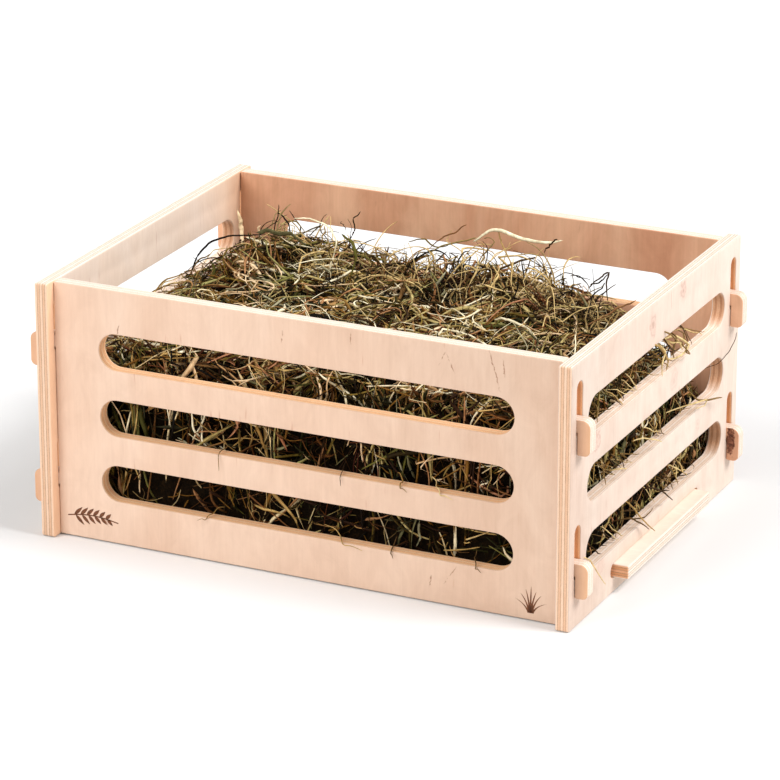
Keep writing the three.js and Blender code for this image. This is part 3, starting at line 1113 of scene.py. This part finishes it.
def build_core(rng):
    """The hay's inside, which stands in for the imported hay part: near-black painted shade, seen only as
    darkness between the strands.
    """
    xs = np.linspace(-HAY_X + CORE_INSET, HAY_X - CORE_INSET, CORE_COLUMNS)
    ys = np.linspace(-HAY_Y + CORE_INSET, HAY_Y - CORE_INSET, CORE_ROWS)
    x, y = np.meshgrid(xs, ys, indexing="ij")
    top = hay_top(x, y) - CORE_DEPTH + rng.normal(0, 1.6, x.shape)
    rim = np.ones_like(x, bool)
    rim[1:-1, 1:-1] = False
    top = np.where(rim, top - CORE_RIM_DROP, top)
    verts = [np.stack([x, y, top], 2).reshape(-1, 3)]
    grid = np.arange(x.size).reshape(x.shape)
    quads = np.stack([grid[:-1, :-1], grid[1:, :-1], grid[1:, 1:], grid[:-1, 1:]], 2)
    faces = quads.reshape(-1, 4).tolist()

    border = np.concatenate([grid[:, 0], grid[-1, 1:], grid[-2::-1, -1], grid[0, -2:0:-1]]).tolist()
    upper = verts[0][border]
    previous = border
    for level in range(1, CORE_LEVELS + 1):
        share = level / CORE_LEVELS
        ring = upper.copy()
        ring[:, 2] = upper[:, 2] * (1 - share) + HAY_FLOOR * share
        ring[:, :2] *= 1 + FOOT_FLARE * share + rng.normal(0, 0.006, (len(ring), 1))
        start = x.size + (level - 1) * len(ring)
        verts.append(ring)
        current = list(range(start, start + len(ring)))
        for i in range(len(ring)):
            j = (i + 1) % len(ring)
            faces.append((previous[i], current[i], current[j], previous[j]))
        previous = current
    faces.append(previous[::-1])
    # Painted shade: the inside is coloured near-black.
    s = Shader("hay_core_painted_shade")
    felt = s.noise(s.place(), 240, 4, 0.7, 1.5)
    colour = s.ramp(felt, [(0.3, rgb(10, 6, 2)), (0.55, rgb(26, 16, 5)), (0.75, rgb(50, 34, 13))])
    material = s.finish(colour, 0.95, s.bump(felt, 0.8, 3 * MM), 0.1)
    piece = add_object("hay_core_painted_shade", solid_mesh("hay_core_painted_shade", np.concatenate(verts).tolist(), faces, [material]))
    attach(piece, "filling")
    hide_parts("hay")


# ---- Hay caught in the panels ----

# Walls: outward and along, and the inner and outer face's distances from the middle
FRONT_WALL = (-Y_AXIS, X_AXIS, WALL_INNER_Y, WALL_OUTER_Y)
BACK_WALL = (Y_AXIS, X_AXIS, WALL_INNER_Y, WALL_OUTER_Y)
LEFT_WALL = (-X_AXIS, Y_AXIS, INNER_X, OUTER_X)
RIGHT_WALL = (X_AXIS, Y_AXIS, INNER_X, OUTER_X)
WISP_CLEARANCE = 0.6  # of hanging strands from the sill
SILL_TUFTS = 6  # places along a sill where its strands gather
SILL_REACH = 84  # how far from the slot's middle those places may be
SILL_CLEARANCE = 0.8
PALE_PER_SILL, DARK_PER_SILL = 10, 16

# Wisps that hang out of the front: place along it, slot level, drop below the sill, lean and width
BOTTOM_SLOT, MIDDLE_SLOT, _ = SLOT_LEVELS
FRONT_PALE = [
    (27, BOTTOM_SLOT, 3, 14, 1.0),
    (66, MIDDLE_SLOT, 3, 5, 0.9),
    (-66, BOTTOM_SLOT, 2.5, -5, 0.9),
    (92, MIDDLE_SLOT, 3, 9, 1.0),
]
FRONT_DARK = [
    (-57, MIDDLE_SLOT, 10, 1, 0.7),
    (26, MIDDLE_SLOT, 6, 1, 0.7),
    (60, BOTTOM_SLOT, 4, 2, 0.9),
    (116, BOTTOM_SLOT, 3, 4, 0.8),
]


def wall_points(wall, stations):
    """Points from their distance outwards, place along the wall, and height."""
    outward, along = wall[:2]
    return np.array([outward * d + along * a + UP * z for d, a, z in stations])


def slot_wisps(rng, wall, wisps):
    """Strands that hang out of a wall's slots, each (place along the wall, slot level, drop below the sill,
    lean, width)."""
    _, along, inner, outer = wall
    paths = []
    for place, level, drop, lean, width in wisps:
        sill = level - SLOT_HEIGHT / 2 + WISP_CLEARANCE + width
        out = outer + 0.7 + width
        points = wall_points(wall, [
            (inner - 1, place - 1.2 * lean, sill + 4),
            (inner + 1, place - 0.7 * lean, sill + 2.5),
            (inner + 4, place - 0.4 * lean, sill + 0.6),
            (outer - 1, place - 0.1 * lean, sill + 0.3),
            (out, place + 0.1 * lean, sill - 2.0),
            (out + 0.6, place + 0.5 * lean, sill - 0.55 * drop),
            (out + 1.2, place + lean, sill - drop),
        ])
        points[:3] += rng.normal(0, 1.0, (3, 3)) * (along + UP)
        paths.append(smooth_line(points, 22))
    thick = np.array([width for *_, width in wisps])
    return strand_shape(np.array(paths), thick, thick * 0.7, rng, 5)


def sill_strands(rng, wall, level, count):
    """Short strands that lie over a slot's sill, from the hay outwards."""
    inner = wall[2]
    sill = level - SLOT_HEIGHT / 2
    tufts = rng.uniform(-SILL_REACH, SILL_REACH, SILL_TUFTS)
    paths = []
    for _ in range(count):
        run = rng.uniform(-22, 22)
        place = rng.choice(tufts) + np.clip(rng.normal(0, 8), -12, 12) - run / 2
        reach = rng.uniform(1, 8)
        lift = rng.uniform(2, 11)
        points = wall_points(wall, [
            (inner - 9, place, sill + lift + rng.uniform(-1, 3)),
            (inner - 2, place + 0.35 * run, sill + lift),
            (inner + 0.5 * reach, place + 0.7 * run, sill + 1.4 + 0.35 * lift),
            (inner + reach, place + run, sill + rng.uniform(1.0, 3.0)),
        ])
        path = bent_line(rng, points, 16, 0.3)
        path[:, 2] = np.maximum(path[:, 2], sill + SILL_CLEARANCE)
        paths.append(path)
    thick = rng.uniform(0.6, 1.25, count)
    return strand_shape(np.array(paths), thick, thick * 0.7, rng, 4)


def smooth_line(points, steps):
    """A Catmull-Rom curve through the points."""
    padded = np.vstack([2 * points[0] - points[1], points, 2 * points[-1] - points[-2]])
    line = []
    for t in np.linspace(0, len(points) - 1, steps):
        i = min(int(t), len(points) - 2)
        f = t - i
        a, b, c, d = padded[i : i + 4]
        square, cube = 2 * a - 5 * b + 4 * c - d, 3 * b - a - 3 * c + d
        line.append(0.5 * (2 * b + (c - a) * f + square * f**2 + cube * f**3))
    return np.array(line)


CAUGHT_WIDENING = 1.35

# Strands caught on the right end panel's slots: width before widening, and points (x, y, z)
CAUGHT_PALE = [
    (1.2, [(166, 14, 137), (175, 10, 139), (183, 14, 135), (184, 22, 133), (183, 30, 126)]),
    (1.0, [(166, 4, 138), (175, 8, 136), (183, 2, 133), (184, -6, 127), (183.5, -4, 120)]),
    (1.2, [
        (168, -12, 136), (176, -10, 141), (182, -6, 139), (183, 2, 131), (182.5, 8, 125), (182.5, 6, 121),
    ]),
    (1.1, [(166, 32, 128), (176, 37, 131), (182, 44, 124), (183, 34, 122), (183, 20, 123), (182.5, 9, 126)]),
    (0.8, [(168, 42, 77), (177, 50, 80), (183, 62, 80), (184, 73, 78), (184, 70, 75), (183, 58, 77)]),
    (0.9, [(172, -66, 78), (178, -70, 80), (183, -68, 81), (184, -61, 78.5)]),
    (0.9, [(174, -26, 83), (179, -22, 84), (183, -16, 82), (184, -4, 76.5)]),
    (0.8, [(168, -122, 38), (177, -117, 41), (183, -114, 39), (184, -107, 30), (185, -94, 16)]),
    (0.8, [(168, -50, 48), (178, -44, 50), (184, -37, 39), (186, -28, 30), (187, -19, 23)]),
]
CAUGHT_DARK = [
    (1.0, [(172, 70, 84), (176, 77, 75.5), (182, 80, 75), (185, 90, 73.5), (185.5, 96, 72)]),
    (1.0, [(166, 2, 140), (175, 4, 146), (183, 10, 142), (184, 20, 134), (183, 29, 131), (182, 36, 125)]),
    (1.1, [(166, 22, 134), (175, 25, 138), (183, 20, 137), (184, 12, 131), (183, 16, 125)]),
    (1.0, [(167, 10, 139), (177, 9, 141), (183, 6, 136), (184, 14, 130), (183.5, 24, 128)]),
    (0.9, [
        (170, 48, 126), (180, 46, 120), (184, 41, 119.5), (184, 35, 122), (183, 37, 126), (182, 42, 124),
    ]),
    (0.5, [
        (183, 127, 105), (183.5, 124, 102), (183, 119.5, 99.3), (183, 114, 97),
        (182.5, 105, 95), (180, 102.5, 92), (174, 102, 89), (167, 101, 85),
    ]),
    (0.8, [(168, -24, 31), (177, -29, 33), (183, -26, 34), (184, -16, 36)]),
    (0.9, [(168, -6, 42), (177, -2, 44), (183, 4, 40), (185, 15, 31)]),
    (0.8, [(168, -40, 34), (177, -36, 36), (183, -30, 31), (184, -22, 25)]),
]


def caught(rng, strands):
    path, width = bent_paths(rng, strands, 26, 0.1)
    width *= CAUGHT_WIDENING
    return strand_shape(path, width, width * 0.75, rng, 5)


def build_wisps():
    rng = np.random.default_rng(WISP_SEED)
    straw = hay_material("hay_wisps_straw", (150, 118, 66), (200, 168, 108), (232, 208, 152))
    dark = hay_material("hay_wisps_dark", (56, 40, 22), (92, 68, 38), (138, 110, 66))
    back_places = stray_places(rng, 9, 120, SLOT_LEVELS)
    left_places = stray_places(rng, 6, 95, SLOT_LEVELS[:2])
    strand_piece("wisps_front_straw", [slot_wisps(rng, FRONT_WALL, FRONT_PALE)], straw, "front")
    strand_piece("wisps_front_dark", [slot_wisps(rng, FRONT_WALL, FRONT_DARK)], dark, "front")
    sills = [(wall, level) for wall in (LEFT_WALL, RIGHT_WALL) for level in SLOT_LEVELS]
    pale_sills = [sill_strands(rng, wall, level, PALE_PER_SILL) for wall, level in sills]
    dark_sills = [sill_strands(rng, wall, level, DARK_PER_SILL) for wall, level in sills]
    ends = [caught(rng, CAUGHT_PALE), slot_wisps(rng, LEFT_WALL, left_places), *pale_sills]
    strand_piece("wisps_ends_straw", ends, straw, "frame")
    strand_piece("wisps_ends_dark", [caught(rng, CAUGHT_DARK), *dark_sills], dark, "frame")
    strand_piece("wisps_back", [slot_wisps(rng, BACK_WALL, back_places)], straw, "back")


def stray_places(rng, count, reach, levels):
    """Wisps at random places along a wall, as slot_wisps takes them."""
    return [
        (rng.uniform(-reach, reach), rng.choice(levels), rng.uniform(3, 14), rng.uniform(-9, 9), 0.8)
        for _ in range(count)
    ]


# ---- Studio ----

VIEW_AZIMUTH = 25.27
VIEW_ELEVATION = 20.30
VIEW_DISTANCE = 2.620
VIEW_TARGET = Vector((-0.0016, -0.0023, 0.0804))
VIEW_LENS = 190.7
FLOOR_SPAN = 40  # metres, like the distance, the target and the drop
FLOOR_DROP = 0.0004  # so that the feeder's foot and the floor don't lie in one plane
WORLD_STRENGTH = 0.52


def direction(azimuth, elevation):
    a, e = math.radians(azimuth), math.radians(elevation)
    return Vector((math.sin(a) * math.cos(e), -math.cos(a) * math.cos(e), math.sin(e)))


def soft_sun(name, azimuth, elevation, strength, softness):
    """A distant studio light. softness is how wide it looks from the object, in degrees."""
    data = bpy.data.lights.new(name, "SUN")
    data.energy = strength
    data.angle = math.radians(softness)
    lamp = add_object(name, data)
    lamp.rotation_euler = direction(azimuth, elevation).to_track_quat("Z", "Y").to_euler()


def build_studio():
    bpy.ops.mesh.primitive_plane_add(size=FLOOR_SPAN, location=(0, 0, -FLOOR_DROP))
    floor = bpy.context.object
    floor.name = "studio_floor"
    s = Shader("studio_floor")
    floor.data.materials.append(s.finish((0.8, 0.8, 0.8, 1), 0.9))

    world = bpy.data.worlds.new("studio")
    bpy.context.scene.world = world
    world.use_nodes = True
    background = world.node_tree.nodes["Background"].inputs
    background["Color"].default_value = (1, 1, 1, 1)
    background["Strength"].default_value = WORLD_STRENGTH

    soft_sun("key", azimuth=99, elevation=48, strength=2.75, softness=26)
    soft_sun("fill", azimuth=-30, elevation=36, strength=1.75, softness=38)

    camera = add_object("camera", bpy.data.cameras.new("camera"))
    camera.data.lens = VIEW_LENS
    camera.data.sensor_width = 36
    back = direction(VIEW_AZIMUTH, VIEW_ELEVATION)
    camera.location = VIEW_TARGET + back * VIEW_DISTANCE
    camera.rotation_euler = back.to_track_quat("Z", "Y").to_euler()
    bpy.context.scene.camera = camera
    bpy.context.scene.view_settings.view_transform = "Standard"


build_panels()
build_marks()
build_hay()
build_wisps()
build_studio()
